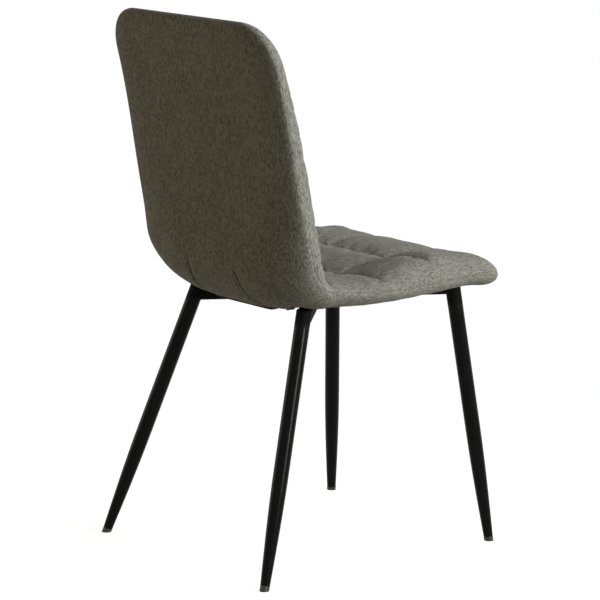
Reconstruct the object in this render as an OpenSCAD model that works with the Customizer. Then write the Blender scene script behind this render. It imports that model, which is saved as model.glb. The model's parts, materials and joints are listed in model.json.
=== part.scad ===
// Dining chair: one padded L-shaped shell on four splayed, tapered tube legs.
// Sizes are millimetres. +Z is up, +Y is the front, +X is the sitter's right.
// The origin is on the floor, under the middle of the chair's outline.
//
// The shell follows one line in side view: the rear face of its plywood panel. The line starts at the
// front edge of the seat, runs back, turns up through the bend and ends at the top of the back. A place
// on the shell is (s, x, t): the length along that line, the distance from the middle, and the height
// over the panel's rear face towards the sitter.

/* [Seat] */
// Height of the panel's underside over the floor, at the origin
seat_h = 431; // [410:1:450]
// Fall of the seat towards the back, in degrees
seat_pitch = 4; // [2:0.5:6]
// Width of the seat
seat_w = 412; // [390:1:430]
// Where the seat's front edge starts to curl down, from the origin
curl_start = 182; // [165:1:195]
// Radius of the curl at the front edge
curl_r = 158; // [130:1:200]
// Turn of the curl, in degrees
curl_turn = 26; // [18:1:32]
// Radius of the seat's front corners
front_corner_r = 34; // [25:1:60]
// Padding over the panel in the seat, cover included
seat_pad = 37; // [30:1:45]
// Padding under the rim of the seat, cover included
rim_pad = 14; // [11:0.5:18]

/* [Back] */
// Where the bend starts, behind the origin
bend_start = 90; // [85:1:98]
// Radius of the panel at the bend
bend_r = 84.5; // [75:1:100]
// Lean of the back just over the bend, in degrees
lean_low = 0; // [0:0.5:4]
// Lean of the back at its top edge, in degrees
lean_top = 18.5; // [14:0.5:24]
// Length of the panel line in the back, over the bend
back_len = 381; // [340:1:420]
// Width of the shell just over the bend
back_low_w = 441; // [430:1:450]
// Width of the shell at its top edge
back_top_w = 431; // [410:1:440]
// Radius of the back's top corners
top_corner_r = 73; // [50:1:90]
// Padding in front of the panel, low in the back
lumbar_pad = 58; // [50:1:62]
// Padding in front of the panel, at the top of the back
top_pad = 30; // [24:1:36]
// Padding under and behind the bend
bend_pad = 19; // [15:1:22]
// Padding behind the panel, over the bend
rear_wadding = 6; // [5:0.5:9]

/* [Rim and quilting] */
// Height of the side seam over the panel's rear face
seam_t = 6.5; // [5:0.5:9]
// Extra height of the side seam at the bend, where the shell is dished
dish = 33; // [20:1:36]
// Reach of the rounding from the seam over the padding
front_round = 60; // [45:1:66]
// Reach of the rounding from the seam under the panel
rear_round = 31; // [26:1:40]
// Extra reach of that rounding at the bend
dish_round = 172; // [120:1:176]
// Thickness of the covers, with the fleece that is quilted to them
cover_t = 2; // [1.5:0.1:2.5]
// Distance between the two lengthwise quilting seams
quilt_w = 154; // [130:1:170]
// Distance between the crosswise quilting seams
quilt_pitch = 100; // [85:1:110]
// First crosswise seam, from the front edge
quilt_first = 138; // [120:1:150]
// Depth of the quilting seams
quilt_depth = 7; // [4:0.5:9]
// Plain border round the quilting
quilt_border = 30; // [22:1:40]

/* [Panel] */
// Thickness of the plywood
ply_t = 11; // [9:0.5:12]
// Distance of the panel's ends and of its sides from the shell's outline
ply_inset = 17; // [14:1:22]
// Radius of the scallops that narrow the panel at the bend
scallop_r = 255; // [235:1:280]

/* [Frame] */
// Width of the square-cut frame tube
arm_w = 20; // [16:1:25]
// Depth of the frame tube
arm_h = 25; // [22:1:30]
// Wall of the frame tube and of the legs
tube_wall = 1.5; // [1:0.1:2]
// Thickness of the fixing plates
plate_t = 3; // [2.5:0.5:4]
// Distance of each plate from its leg, along the arm
plate_in = 44; // [40:1:60]
// Distance of the two bolts in a plate from the middle of the arm
bolt_out = 24; // [22:1:28]
// Diameter of the bolts
bolt_d = 6; // [5:1:6]

/* [Legs] */
// Diameter of the legs
leg_d = 25; // [22:1:28]
// Diameter of the legs at the floor
foot_d = 15.5; // [14:0.5:18]
// Length of the taper
taper_len = 185; // [150:5:220]
// Height of the glides along the leg
glide_h = 7; // [6:0.5:10]
// Distance of the rear feet from the middle plane
rear_foot_x = 221; // [205:1:235]
// Distance of the rear feet behind the origin
rear_foot_y = 246; // [230:1:260]
// Distance of the front feet from the middle plane
front_foot_x = 212; // [200:1:230]
// Distance of the front feet in front of the origin
front_foot_y = 228; // [210:1:240]
// Distance of the rear legs from the middle plane, where the arms meet them
rear_head_x = 146; // [138:1:148]
// Distance of the rear legs behind the origin, where the arms meet them
rear_head_y = 113; // [106:1:116]
// Distance of the front legs from the middle plane, where the arms meet them
front_head_x = 159; // [150:1:160]
// Distance of the front legs in front of the origin, where the arms meet them
front_head_y = 188; // [175:1:192]

/* [Hidden] */
$fn = 48;

fabric_grey = "#84857b";
foam_cream = "#e3d9b4";
ply_tan = "#c9a878";
cloth_black = "#1b1b1b";
steel_black = "#17170f";
zinc = "#b9bcc0";

rest_gap = 0.2;      // between soft pieces that lie on each other
weld_gap = 0.05;     // between steel pieces that are welded together
dust_t = 0.8;        // dust cover
under_t = rest_gap + dust_t;            // from the panel down to the face that the plates bear on
arm_top = under_t + plate_t;            // from the panel down to the top of the arms
arm_mid = arm_top + arm_h / 2;
arm_corner = 3;
head_gap = 1.5;      // from the dust cover down to the heads of the legs
plate_w = 30;
plate_end = 10;      // from a bolt to the end of its plate
plate_r = 8;
hole_fit = 0.4;      // of the bolts in the holes of the plates and of the dust cover
past = 300;          // reach of the cuts beyond what they cut

// ---- side view of the panel ----

curl_len = curl_r * curl_turn * PI / 180;
flat_len = (curl_start + bend_start) / cos(seat_pitch);
bend_turn = 90 - lean_low + seat_pitch;
bend_len = bend_r * bend_turn * PI / 180;
back_r = back_len / ((lean_top - lean_low) * PI / 180);
s_flat = curl_len;
s_bend = s_flat + flat_len;
s_back = s_bend + bend_len;
s_top = s_back + back_len;
s_mid = (s_bend + s_back) / 2;

function seat_z(y) = seat_h + y * tan(seat_pitch);
function deg(len, r) = len / r * 180 / PI;

// [y, z, climb] at a length s along the line; climb is the line's angle over the level, in degrees
function curl_at(s) = let (h = deg(curl_len - s, curl_r) - seat_pitch)
    [curl_start + curl_r * (sin(h) + sin(seat_pitch)),
     seat_z(curl_start) + curl_r * (cos(h) - cos(seat_pitch)), h];
function flat_at(s) = let (y = curl_start - (s - s_flat) * cos(seat_pitch)) [y, seat_z(y), -seat_pitch];
function bend_at(s) = let (h = deg(s - s_bend, bend_r) - seat_pitch)
    [-bend_start - bend_r * (sin(h) + sin(seat_pitch)),
     seat_z(-bend_start) + bend_r * (cos(seat_pitch) - cos(h)), h];
function back_at(s) = let (low = bend_at(s_back), h = low[2] - deg(s - s_back, back_r))
    [low[0] + back_r * (sin(h) - sin(low[2])), low[1] + back_r * (cos(h) - cos(low[2])), h];
function line_at(s) = s < s_flat ? curl_at(s) : s < s_bend ? flat_at(s)
    : s < s_back ? bend_at(s) : back_at(s);

// a point of the shell from its place (s, x, t)
function shell_point(s, x, t) = let (p = line_at(s)) [x, p[0] + t * sin(p[2]), p[1] + t * cos(p[2])];

// ---- form of the upholstery ----

bend_fade = 30;      // reach of the dished sides past the bend
belly_from = 80;     // the padding under the seat grows from here before the bend
belly_full = 20;     // to here
belly_end = 40;      // and thins out to here, over the bend
// 1 in the middle of the bend, fading to 0 in the seat and in the back
function near_bend(s) = exp(-pow((s - s_mid) / (0.75 * bend_len + bend_fade), 2));
function half_w(s) = lookup(s, [[0, seat_w], [s_bend, seat_w],
                                [s_back, back_low_w], [s_top, back_top_w]]) / 2;
function pad_t(s) = lookup(s, [[0, seat_pad], [s_bend, seat_pad], [s_back, lumbar_pad],
                               [s_back + back_len / 4, lumbar_pad], [s_top, top_pad]]);
function under_pad(s) = lookup(s, [[0, rim_pad], [s_bend - belly_from, rim_pad],
                                   [s_bend - belly_full, bend_pad], [s_mid, bend_pad],
                                   [s_back + belly_end, rear_wadding], [s_top, rear_wadding]]);
function seam_at(s) = min(seam_t + dish * near_bend(s), 0.8 * pad_t(s));
function under_round(s) = rear_round + dish_round * near_bend(s);

// distance from a place to the shell's outline, drawn in by inset
function corner_gap(a, b, r) = a < r && b < r ? r - norm([r - a, r - b]) : min(a, b);
function edge_gap(s, x, inset) = let (a = half_w(s) - inset - abs(x))
    max(0, min(corner_gap(a, s - inset, front_corner_r - inset),
               corner_gap(a, s_top - inset - s, top_corner_r - inset)));
// quarter round from 0 at the seam to 1 at its full reach
function dome(gap, reach) = let (q = 1 - min(gap / reach, 1)) sqrt(1 - q * q);

// depth of the quilting at a place: full on a seam, and 0 in the plain border
function seam_gap(s, x) = let (row = (s - quilt_first) / quilt_pitch)
    min(abs(abs(x) - quilt_w / 2), abs(row - round(row)) * quilt_pitch);
function quilting(s, x) = quilt_depth * pow(1 - min(seam_gap(s, x) / (quilt_pitch / 3), 1), 2)
    * dome(max(0, edge_gap(s, x, 0) - quilt_border), quilt_border);

// faces of the upholstery, drawn in by inset from the outside of the covers
function top_face(s, x, inset) = let (e = seam_at(s))
    e + (pad_t(s) - inset - e) * dome(edge_gap(s, x, inset), front_round - inset) - quilting(s, x);
function under_face(s, x, inset) = let (e = seam_at(s))
    e - (e + under_pad(s) - inset) * dome(edge_gap(s, x, inset), under_round(s) - inset);

// ---- grids of places over the shell ----

// half width at s of the outline drawn in by inset, with its rounded corners
function corner_in(b, r) = b < r ? r - sqrt(max(0, r * r - (r - b) * (r - b))) : 0;
function reach_x(s, inset) = half_w(s) - inset - corner_in(s - inset, front_corner_r - inset)
    - corner_in(s_top - inset - s, top_corner_r - inset);

inner_n = 4;
inner_x = inner_n * quilt_w / 6;      // columns stand evenly out to here, one of them on a quilting seam
rim_steps = [0.25, 0.5, 0.72, 0.88, 0.97, 1];      // and share the rest out to the rim
row_step = quilt_pitch / 4;
row_0 = quilt_first - quilt_pitch;      // first of the evenly spaced rows
end_reach = 26;      // the last rows close up over this length below the top edge
row_gap = 4;         // least distance between a row and the end of a piece
row_n = floor((s_top - end_reach - row_gap / 2 - row_0) / row_step);
end_steps = [0.15, 0.4, 0.7];

function column_x(s, j, inset) = let (k = abs(j), side = sign(j))
    side * (k <= inner_n ? inner_x * k / inner_n
                         : inner_x + (reach_x(s, inset) - inner_x) * rim_steps[k - inner_n - 1]);
columns = [for (j = [-inner_n - len(rim_steps) : inner_n + len(rim_steps)]) j];
// lengths of the grid rows between two places; the rows of all the soft pieces line up
function rows(from, to) = concat(
    [from], from < row_0 ? [for (g = end_steps) from + (row_0 - from) * g] : [],
    [for (k = [0 : row_n]) let (s = row_0 + k * row_step)
        if (s > from + row_gap && s < to - row_gap) s],
    to > s_top - end_reach / 2 ? [for (g = end_steps) to - end_reach * (1 - g)] : [], [to]);

// grid of points on a face of the upholstery, held inside the drawn-in outline
function drawn_in(s, inset) = min(max(s, inset), s_top - inset);
function face_grid(list, inset, face) = [for (k = list) let (s = drawn_in(k, inset))
    [for (j = columns) let (x = column_x(s, j, inset)) shell_point(s, x, face(s, x))]];

// closed solid between an upper and a lower grid of points with the same rows and columns; the
// cells' diagonals turn at the middle column and at a row, the same row in pieces that lie together
module grid_solid(upper, lower, turn_row = undef) {
    m = len(upper);
    n = len(upper[0]);
    row = is_undef(turn_row) ? (m - 1) / 2 : turn_row;
    points = concat([for (line = upper) each line], [for (line = lower) each line]);
    function a(i, j) = i * n + j;
    function b(i, j) = m * n + i * n + j;
    function quad(p, q, r, s, turn) = turn ? [[p, q, s], [q, r, s]] : [[p, q, r], [p, r, s]];
    function past_i(i) = i >= row;
    function past_j(j) = j >= (n - 1) / 2;
    cells = [for (i = [0 : m - 2], j = [0 : n - 2]) [i, j, past_i(i) != past_j(j)]];
    faces = concat(
        [for (i = [0 : m - 2])
            each quad(a(i, 0), a(i + 1, 0), b(i + 1, 0), b(i, 0), past_i(i))],
        [for (i = [0 : m - 2])
            each quad(a(i, n - 1), b(i, n - 1), b(i + 1, n - 1), a(i + 1, n - 1), past_i(i))],
        [for (j = [0 : n - 2])
            each quad(a(0, j), b(0, j), b(0, j + 1), a(0, j + 1), past_j(j))],
        [for (j = [0 : n - 2])
            each quad(a(m - 1, j), a(m - 1, j + 1), b(m - 1, j + 1), b(m - 1, j), past_j(j))],
        [for (k = cells) let (i = k[0], j = k[1])
            each quad(a(i, j), a(i, j + 1), a(i + 1, j + 1), a(i + 1, j), k[2])],
        [for (k = cells) let (i = k[0], j = k[1])
            each quad(b(i, j), b(i + 1, j), b(i + 1, j + 1), b(i, j + 1), k[2])]);
    polyhedron(points, faces, convexity = 6);
}

// ---- frame ----

// the seat's own axes: the panel's flat underside lies in their XY plane
module on_seat() translate([0, 0, seat_h]) rotate([seat_pitch, 0, 0]) children();
function seat_point(p) = [p[0], p[1] * cos(seat_pitch) - p[2] * sin(seat_pitch),
                          seat_h + p[1] * sin(seat_pitch) + p[2] * cos(seat_pitch)];

// where each arm meets its leg, in the seat's axes, and where the leg stands on the floor
rear_right = [rear_head_x, -rear_head_y];
front_right = [front_head_x, front_head_y];
rear_left = [-rear_head_x, -rear_head_y];
front_left = [-front_head_x, front_head_y];
rear_foot = [rear_foot_x, -rear_foot_y];
front_foot = [front_foot_x, front_foot_y];
cross_y = (front_head_y + rear_head_y) * rear_head_x / (rear_head_x + front_head_x) - rear_head_y;
cross_point = [0, cross_y];

function toward_cross(head) = (cross_point - head) / norm(cross_point - head);
function plate_at(head) = head + plate_in * toward_cross(head);
function bolt_at(head, side) = let (u = toward_cross(head))
    plate_at(head) + side * bolt_out * [-u[1], u[0]];
heads = [rear_left, rear_right, front_left, front_right];
bolt_places = [for (head = heads, side = [-1, 1]) bolt_at(head, side)];
module at_bolts() on_seat() for (p = bolt_places) translate([p[0], p[1], 0]) children();

module rounded_bar(w, h, r) {
    square([w - 2 * r, h], center = true);
    square([w, h - 2 * r], center = true);
    for (x = [-1, 1], y = [-1, 1]) translate([x * (w / 2 - r), y * (h / 2 - r)]) circle(r);
}
module tube_section() difference() {
    rounded_bar(arm_w, arm_h, arm_corner);
    rounded_bar(arm_w - 2 * tube_wall, arm_h - 2 * tube_wall, arm_corner - tube_wall);
}
// square tube from one point to another in the seat's axes, at the depth of the arms
module arm(from, to) on_seat() translate([from[0], from[1], -arm_mid])
    rotate([0, 0, atan2(to[1] - from[1], to[0] - from[0])]) rotate([90, 0, 90])
        linear_extrude(norm(to - from)) tube_section();

// Z axis up a leg from the middle of its foot
function head_point(head) = seat_point([head[0], head[1], -arm_mid]);
module up_leg(head, foot) {
    d = head_point(head) - [foot[0], foot[1], 0];
    translate([foot[0], foot[1], 0]) rotate([0, acos(d[2] / norm(d)), atan2(d[1], d[0])]) children();
}
function leg_len(head, foot) = norm(head_point(head) - [foot[0], foot[1], 0]) + arm_mid + leg_d;
module leg_space(head, foot) up_leg(head, foot) cylinder(h = leg_len(head, foot), r = leg_d / 2 + weld_gap);

function taper_r(d) = foot_d / 2 + (leg_d - foot_d) / 2 * sin(90 * min((d - glide_h) / taper_len, 1));
taper_steps = 10;
function taper_depths() = [for (k = [0 : taper_steps]) glide_h + taper_len * k / taper_steps];

module leg(head, foot) color(steel_black) difference() {
    up_leg(head, foot) rotate_extrude() polygon(concat(
        [for (d = taper_depths()) [taper_r(d), d]],
        [[leg_d / 2, leg_len(head, foot)], [leg_d / 2 - tube_wall, leg_len(head, foot)]],
        [for (k = [taper_steps : -1 : 0]) let (d = taper_depths()[k]) [taper_r(d) - tube_wall, d]]));
    // the head is cut level with the seat, clear of the dust cover
    on_seat() translate([head[0], head[1], past / 2 - under_t - head_gap]) cube(past, center = true);
}

// a plug in the end of the tube, whose foot is cut level with the floor
plug_r = foot_d / 2 - tube_wall - 0.1;
module glide(head, foot) color(cloth_black) difference() {
    up_leg(head, foot) rotate([0, 0, 30]) rotate_extrude() polygon([
        [0, -foot_d / 2], [foot_d / 2, -foot_d / 2], [foot_d / 2, glide_h],
        [plug_r, glide_h], [plug_r, glide_h + foot_d], [0, glide_h + foot_d]]);
    translate([foot[0], foot[1], -past / 2]) cube(past, center = true);
}

module plate(head) color(steel_black) {
    c = plate_at(head);
    u = toward_cross(head);
    difference() {
        on_seat() translate([c[0], c[1], -arm_top]) rotate([0, 0, atan2(u[1], u[0])])
            linear_extrude(plate_t) rounded_bar(plate_w, 2 * (bolt_out + plate_end), plate_r);
        at_bolts() cylinder(h = 3 * arm_top, r = bolt_d / 2 + hole_fit, center = true);
    }
}

module long_arm() color(steel_black) difference() {
    arm(rear_left, front_right);
    leg_space(rear_left, [-rear_foot[0], rear_foot[1]]);
    leg_space(front_right, front_foot);
}
// one half of the crossing arm, cut to fit the side of the long arm
module short_arm(head, foot) color(steel_black) difference() {
    arm(head, cross_point);
    leg_space(head, foot);
    on_seat() translate([cross_point[0], cross_point[1], -arm_mid])
        rotate([0, 0, atan2(front_right[1] - rear_left[1], front_right[0] - rear_left[0])])
            cube([past, arm_w + 2 * weld_gap, 2 * arm_h], center = true);
}
module rear_arm() short_arm(rear_right, rear_foot);
module front_arm() short_arm(front_left, [-front_foot[0], front_foot[1]]);

// ---- fasteners ----

nut_flange_r = 9.5;
nut_flange_t = 1.3;
nut_barrel_r = bolt_d / 2 + 1;
washer_t = 1.2;
lock_t = 1.5;
head_t = 4;
bolt_fit = 0.1;

module t_nuts() color(zinc) at_bolts() difference() {
    union() {
        translate([0, 0, 1]) cylinder(h = ply_t - 1, r = nut_barrel_r);
        translate([0, 0, ply_t - nut_flange_t]) cylinder(h = nut_flange_t, r = nut_flange_r);
    }
    cylinder(h = 3 * ply_t, r = bolt_d / 2 + bolt_fit, center = true);
}
module washers() color(zinc) at_bolts() translate([0, 0, -arm_top - washer_t]) difference() {
    cylinder(h = washer_t, r = bolt_d);
    cylinder(h = 3 * washer_t, r = bolt_d / 2 + 0.2, center = true);
}
module lock_washers() color(zinc) at_bolts() translate([0, 0, -arm_top - washer_t - lock_t]) difference() {
    cylinder(h = lock_t, r = bolt_d * 0.83);
    cylinder(h = 3 * lock_t, r = bolt_d / 2 + 0.1, center = true);
    translate([bolt_d / 2, -0.4, -1]) cube([bolt_d, 0.8, 2 * lock_t + 2]);
}
// six-sided heads under the plates, shanks up into the T-nuts
module bolts() color(cloth_black) at_bolts() {
    under = arm_top + washer_t + lock_t;
    translate([0, 0, -under - head_t]) cylinder(h = head_t, r = bolt_d * 0.96, $fn = 6);
    translate([0, 0, -under - 1]) cylinder(h = under + ply_t - 1, r = bolt_d / 2);
}

// ---- panel ----

ply_ends = [ply_inset, s_top - ply_inset];
bend_n = 16;
function ply_lengths() = concat(
    [for (k = [0 : 6]) ply_ends[0] + (s_flat - ply_ends[0]) * k / 6],
    [for (k = [0 : bend_n]) s_bend + bend_len * k / bend_n],
    [for (k = [1 : 10]) s_back + (ply_ends[1] - s_back) * k / 10]);
function profile(t) = [for (s = ply_lengths()) let (p = shell_point(s, 0, t)) [p[1], p[2]]];
function flip(list) = [for (k = [len(list) - 1 : -1 : 0]) list[k]];

// distance in from the outline at which the outside of the cover has come down to t
function in_at(s, t) = let (e = seam_at(s), g = min(1, (e - t) / (e + under_pad(s))))
    under_round(s) * (1 - sqrt(1 - g * g));
// half width of the widest flat piece that fits inside the rear cover at s
function fit_half(s, t) = half_w(s) - in_at(s, t - cover_t - 0.5);
ply_w = min(seat_w, back_top_w) - 2 * ply_inset;
waist_s = s_mid + 0.12 * bend_len;
waist_half = fit_half(waist_s, 0) - 6;

// block that leaves a corner of radius r
module corner_cut(r) difference() {
    translate([0, 0, -past / 2]) cube([2 * r, 2 * r, past]);
    cylinder(h = 2 * past, r = r, center = true);
}
module ply_panel() color(ply_tan) {
    front = line_at(ply_ends[0]);
    top = line_at(ply_ends[1]);
    front_r = max(12, front_corner_r - ply_inset);
    top_r = top_corner_r - ply_inset;
    waist = line_at(waist_s);
    difference() {
        rotate([90, 0, 90]) linear_extrude(ply_w, center = true)
            polygon(concat(profile(0), flip(profile(ply_t))));
        for (side = [0, 1]) mirror([side, 0, 0]) {
            translate([ply_w / 2 - front_r, front[0] - front_r, front[1]]) corner_cut(front_r);
            translate([ply_w / 2 - top_r, top[0], top[1] - top_r]) rotate([90, 0, 0]) corner_cut(top_r);
            translate([waist_half + scallop_r, waist[0], waist[1]]) rotate([-waist[2], 0, 0])
                cylinder(h = past, r = scallop_r, center = true, $fn = 96);
        }
        at_bolts() {
            cylinder(h = 3 * ply_t, r = nut_barrel_r + bolt_fit, center = true);
            translate([0, 0, ply_t - nut_flange_t]) cylinder(h = ply_t, r = nut_flange_r + bolt_fit);
        }
    }
}

// ---- foam ----

foam_inset = cover_t + rest_gap;
edge_t = 0.6;         // thickness left at the feather edge of a foam
function on_outline(s, x, inset) = edge_gap(s, x, inset) < 0.01;
function foam_top(s, x) = top_face(s, x, foam_inset) + (on_outline(s, x, foam_inset) ? edge_t : 0);
curl_sag = row_step * row_step / (8 * curl_r);      // of the straight rows over the curled panel
function foam_seat(s) = ply_t + rest_gap + (s < s_flat ? curl_sag : 0);
function foam_low(s, x) = on_outline(s, x, foam_inset) ? seam_at(s)
    : min(foam_top(s, x) - edge_t, max(foam_seat(s), under_face(s, x, foam_inset)));

// the two foams meet in the crease of the bend, where the diagonals turn
foam_joint = row_0 + row_step * round((s_mid - row_0) / row_step);
function turn_row(list) = len([for (s = list) if (s < foam_joint - row_gap) s]);
// foam over the panel between two lengths
module pad(from, to) {
    list = rows(from, to);
    grid_solid(face_grid(list, foam_inset, function (s, x) foam_top(s, x)),
               face_grid(list, foam_inset, function (s, x) foam_low(s, x)), turn_row(list));
}
module seat_foam() color(foam_cream) pad(0, foam_joint - rest_gap);
module back_foam() color(foam_cream) pad(foam_joint + rest_gap, s_top);

// foam under and behind the bend, between the panel and the rear cover
rear_edge = s_bend + 0.25 * bend_len;     // front edge of the rear cover, behind the rear legs
bend_foam_top = s_back + bend_fade;
bend_columns = 8;
bend_foam_t = -rest_gap - row_step * row_step / (8 * bend_r);    // clear of the panel between the rows too
bend_rows = rows(rear_edge + rest_gap, bend_foam_top);
function bend_side(face) = [for (s = bend_rows) [for (j = [-bend_columns : bend_columns])
    let (x = fit_half(s, bend_foam_t) * j / bend_columns) shell_point(s, x, face(s, x))]];
module bend_foam() color(foam_cream)
    grid_solid(bend_side(function (s, x) bend_foam_t),
               bend_side(function (s, x) min(bend_foam_t - edge_t, under_face(s, x, foam_inset + edge_t))));

// ---- covers ----

module front_cover() color(fabric_grey) {
    list = rows(0, s_top);
    grid_solid(face_grid(list, 0, function (s, x) top_face(s, x, 0)),
               face_grid(list, cover_t, function (s, x) top_face(s, x, cover_t)), turn_row(list));
}
module rear_cover() color(fabric_grey) {
    list = rows(rear_edge, s_top);
    grid_solid(face_grid(list, cover_t, function (s, x) under_face(s, x, cover_t)),
               face_grid(list, 0, function (s, x) under_face(s, x, 0)));
}

// places round the rim of the seat at a distance in, from the right rear, along the front, to the left
// rear; flare(s) widens that distance along the sides
band_rings = [0, 2, 5, 10, 18, 28, 42];
side_rows = 12;
corner_rows = 5;
front_rows = 8;
inner_corner = 3;
function rim_places(from, in, flare) = let (
        r = max(front_corner_r, in + inner_corner),
        c = half_w(0) - r,
        right = concat([for (k = [0 : side_rows]) let (s = from + (r - from) * k / side_rows)
                           [s, half_w(0) - in - flare(s)]],
                       [for (k = [1 : corner_rows]) let (a = 90 * k / corner_rows)
                           [r - (r - in) * sin(a), c + (r - in) * cos(a)]],
                       [for (k = [1 : front_rows - 1]) [in, c * (1 - k / front_rows)]]))
    concat(right, [[in, 0]], [for (p = flip(right)) [p[0], -p[1]]]);

// solid that follows the rim, between an upper and a lower face
module band(rings, from, flare, upper_t, lower_t) {
    last = rings[len(rings) - 1];
    grid = [for (in = rings) rim_places(from, in, function (s) flare(s) * (last - in) / (last - rings[0]))];
    function side(face) = [for (i = [0 : len(grid[0]) - 1])
        [for (ring = grid) shell_point(ring[i][0], ring[i][1], face(ring[i][0], ring[i][1]))]];
    grid_solid(side(upper_t), side(lower_t));
}
band_from = rear_edge - rest_gap;
module side_band() color(fabric_grey) band(band_rings, band_from, function (s) 0,
    function (s, x) min(under_face(s, x, 0) + cover_t, seam_at(s) - rest_gap),
    function (s, x) under_face(s, x, 0) - (on_outline(s, x, 0) ? edge_t : 0));

rim_foam_t = 3;
rim_rings = [16, 22, 30, 42];
rim_foam_end = s_bend - bend_fade;
module rim_foam() color(foam_cream) band(rim_rings, rim_foam_end,
    function (s) max(0, in_at(s, -foam_inset - rim_foam_t) - rim_rings[0]),
    function (s, x) -rest_gap,
    function (s, x) under_face(s, x, 0) + foam_inset);

// ---- underside ----

// thin cloth that follows the panel's underside between the edges of the covers
dust_half = seat_w / 2 - band_rings[len(band_rings) - 1] - 1;
dust_from = seat_w / 2 - dust_half;
dust_to = s_bend + bend_len * 2 / bend_n;
dust_corner = 30;
dust_inner = [for (s = ply_lengths()) if (s > dust_from && s < dust_to - 1) s];
dust_list = concat([dust_from], dust_inner, [dust_to]);
function dust_profile(t) = [for (s = dust_list) let (p = shell_point(s, 0, t)) [p[1], p[2]]];
module dust_cover() color(cloth_black) {
    front = line_at(dust_from);
    rear = line_at(dust_to);
    difference() {
        rotate([90, 0, 90]) linear_extrude(2 * dust_half, center = true)
            polygon(concat(dust_profile(-under_t), flip(dust_profile(-rest_gap))));
        corner_x = dust_half - dust_corner;
        for (side = [0, 1]) mirror([side, 0, 0]) {
            translate([corner_x, front[0] - dust_corner, front[1]]) corner_cut(dust_corner);
            translate([corner_x, rear[0] + dust_corner, rear[1]]) mirror([0, 1, 0]) corner_cut(dust_corner);
        }
        at_bolts() cylinder(h = 3 * under_t, r = bolt_d / 2 + hole_fit, center = true);
    }
}

staple_w = 11;
staple_wire = 1.2;
staple_t = 0.7;
staple_in = 3;       // from the edge of the dust cover
staple_end = 8;      // from the end of the flat panel to the first staple
staple_pitch = 38;
// crown of a staple on the dust cover at (s, x): across the seat, or turned along it
module staple(s, x, turn) translate(shell_point(s, x, -under_t - staple_t)) rotate([-line_at(s)[2], 0, 0])
    rotate([0, 0, turn]) translate([-staple_w / 2, -staple_wire / 2, 0])
        cube([staple_w, staple_wire, staple_t]);
function spread(a, b) = let (n = ceil((b - a) / staple_pitch)) [for (k = [0 : n]) a + (b - a) * k / n];
module staples() color(zinc) {
    side_x = dust_half - staple_in;
    front_x = side_x - dust_corner;
    for (side = [-1, 1], s = spread(s_flat + staple_end, s_bend - 3 * staple_end))
        staple(s, side * side_x, 90);
    for (x = spread(-front_x, front_x)) staple(dust_list[2], x, 0);
    for (x = spread(-side_x / 2, side_x / 2)) staple(s_bend - staple_end, x, 0);
}

module plate_rear_left() plate(rear_left);
module plate_rear_right() plate(rear_right);
module plate_front_left() plate(front_left);
module plate_front_right() plate(front_right);
module leg_rear_left() leg(rear_left, [-rear_foot[0], rear_foot[1]]);
module leg_rear_right() leg(rear_right, rear_foot);
module leg_front_left() leg(front_left, [-front_foot[0], front_foot[1]]);
module leg_front_right() leg(front_right, front_foot);
module glide_rear_left() glide(rear_left, [-rear_foot[0], rear_foot[1]]);
module glide_rear_right() glide(rear_right, rear_foot);
module glide_front_left() glide(front_left, [-front_foot[0], front_foot[1]]);
module glide_front_right() glide(front_right, front_foot);

ply_panel();
seat_foam();
back_foam();
bend_foam();
rim_foam();
front_cover();
rear_cover();
side_band();
dust_cover();
staples();
t_nuts();
long_arm();
rear_arm();
front_arm();
plate_rear_left();
plate_rear_right();
plate_front_left();
plate_front_right();
leg_rear_left();
leg_rear_right();
leg_front_left();
leg_front_right();
glide_rear_left();
glide_rear_right();
glide_front_left();
glide_front_right();
bolts();
lock_washers();
washers();
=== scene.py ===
import json
import bpy
import bmesh
from math import sin, cos, tan, sqrt, pi, radians, exp, hypot, ceil, copysign
from mathutils import Vector, Matrix, noise


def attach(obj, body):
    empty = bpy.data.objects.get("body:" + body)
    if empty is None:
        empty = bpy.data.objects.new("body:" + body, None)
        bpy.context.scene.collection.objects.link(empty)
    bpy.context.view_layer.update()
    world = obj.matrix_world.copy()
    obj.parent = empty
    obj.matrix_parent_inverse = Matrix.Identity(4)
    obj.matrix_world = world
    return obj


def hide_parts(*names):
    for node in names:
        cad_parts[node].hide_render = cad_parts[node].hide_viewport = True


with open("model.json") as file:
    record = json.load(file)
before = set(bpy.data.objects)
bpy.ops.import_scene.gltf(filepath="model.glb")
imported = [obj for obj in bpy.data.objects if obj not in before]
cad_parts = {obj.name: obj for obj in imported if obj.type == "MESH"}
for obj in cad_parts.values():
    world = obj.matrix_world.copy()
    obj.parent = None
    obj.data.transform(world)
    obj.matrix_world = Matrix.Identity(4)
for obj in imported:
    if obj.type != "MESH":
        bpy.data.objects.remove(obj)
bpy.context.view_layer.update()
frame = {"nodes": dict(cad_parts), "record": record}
nodes = frame["nodes"]
print("frame loaded:", len(nodes), "pieces")


# camera, behind the chair's right side and a little above it

cameraSetup = {"place": (3.8703, -2.9838, 1.3506), "turn": 52.42, "down": 10.99, "lens": 181.18}

camera = bpy.data.objects.new("camera", bpy.data.cameras.new("camera"))
camera.data.lens = cameraSetup["lens"]
camera.data.sensor_width = 36
camera.location = cameraSetup["place"]
camera.rotation_euler = (radians(90 - cameraSetup["down"]), 0, radians(cameraSetup["turn"]))
bpy.context.collection.objects.link(camera)
bpy.context.scene.camera = camera
bpy.context.scene.view_settings.view_transform = "Standard"


# shader maths: a Wire is a socket that can be added, multiplied and compared

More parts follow.
